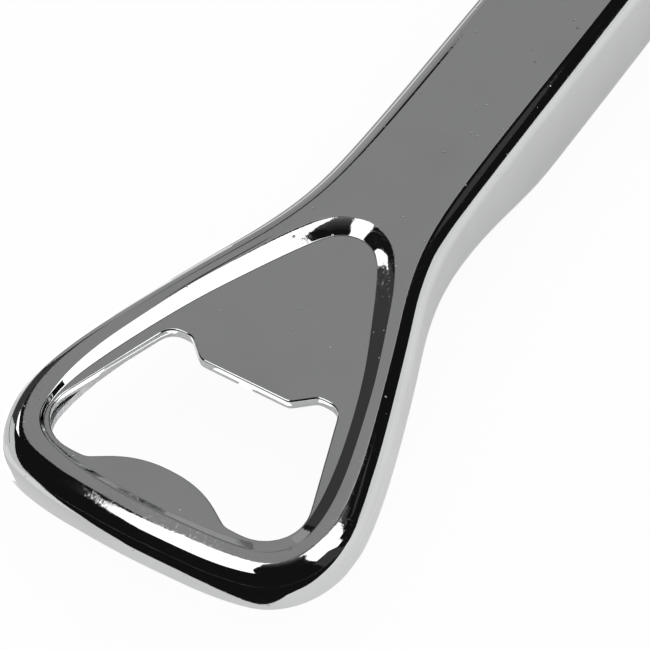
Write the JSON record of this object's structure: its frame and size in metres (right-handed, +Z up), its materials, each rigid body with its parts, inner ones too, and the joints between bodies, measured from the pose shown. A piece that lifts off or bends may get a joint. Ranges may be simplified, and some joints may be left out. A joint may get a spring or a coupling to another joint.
{
  "type": "corkscrew bottle opener",
  "caption": "Chromed hand opener: a flared head with a recessed plate cut for crown caps, and a deep hollow handle whose worm folds out of the underside to stand square to it.",
  "frame": {"origin": "centre of the bounding box's underside, on the surface that the handle's underside rests on", "axes": "+X from the cap-lifter head to the tail, +Y across the handle, +Z up, out of the head's recessed face"},
  "size_m": [0.152, 0.0458, 0.0139],
  "materials": {
    "shell_chrome": "mirror-polished chrome plate with fine pits",
    "plate_chrome": "polished chrome plate, faintly scuffed",
    "cover_chrome": "chrome plate, a little duller than the shell",
    "worm_chrome": "nickel-chrome plated hardened wire",
    "ring_steel": "blanked sheet steel",
    "fastener_steel": "turned or peened steel",
    "frame_steel": "folded sheet steel, unpolished",
    "spring_steel": "tempered spring steel",
    "block_zinc": "die-cast zinc, matt",
    "pad_nylon": "moulded black nylon"
  },
  "bodies": {
    "opener_body": {"body_shell": "shell_chrome", "opener_plate": "plate_chrome", "clamp_ring": "ring_steel", "ring_stud_1": "fastener_steel", "ring_stud_2": "fastener_steel", "ring_stud_3": "fastener_steel", "ring_stud_4": "fastener_steel", "ring_stud_5": "fastener_steel", "base_cover": "cover_chrome", "cover_screw_front": "fastener_steel", "cover_screw_rear": "fastener_steel", "neck_post": "fastener_steel", "tail_block": "block_zinc", "worm_frame": "frame_steel", "frame_stud_1": "fastener_steel", "frame_stud_2": "fastener_steel", "frame_stud_3": "fastener_steel", "back_spring": "spring_steel", "spring_rivet": "fastener_steel", "pivot_rivet": "fastener_steel", "pivot_washer_left": "fastener_steel", "pivot_washer_right": "fastener_steel", "worm_rest": "pad_nylon"},
    "worm_arm": {"worm_hub": "worm_chrome", "worm": "worm_chrome", "shank_pin": "frame_steel"}
  },
  "joints": [
    {"name": "worm_fold", "type": "hinge", "parent": "opener_body", "child": "worm_arm", "pos_m": [0.0123, 0, 0.005], "axis": [0, 1, 0], "range_deg": [0, 90]}
  ]
}
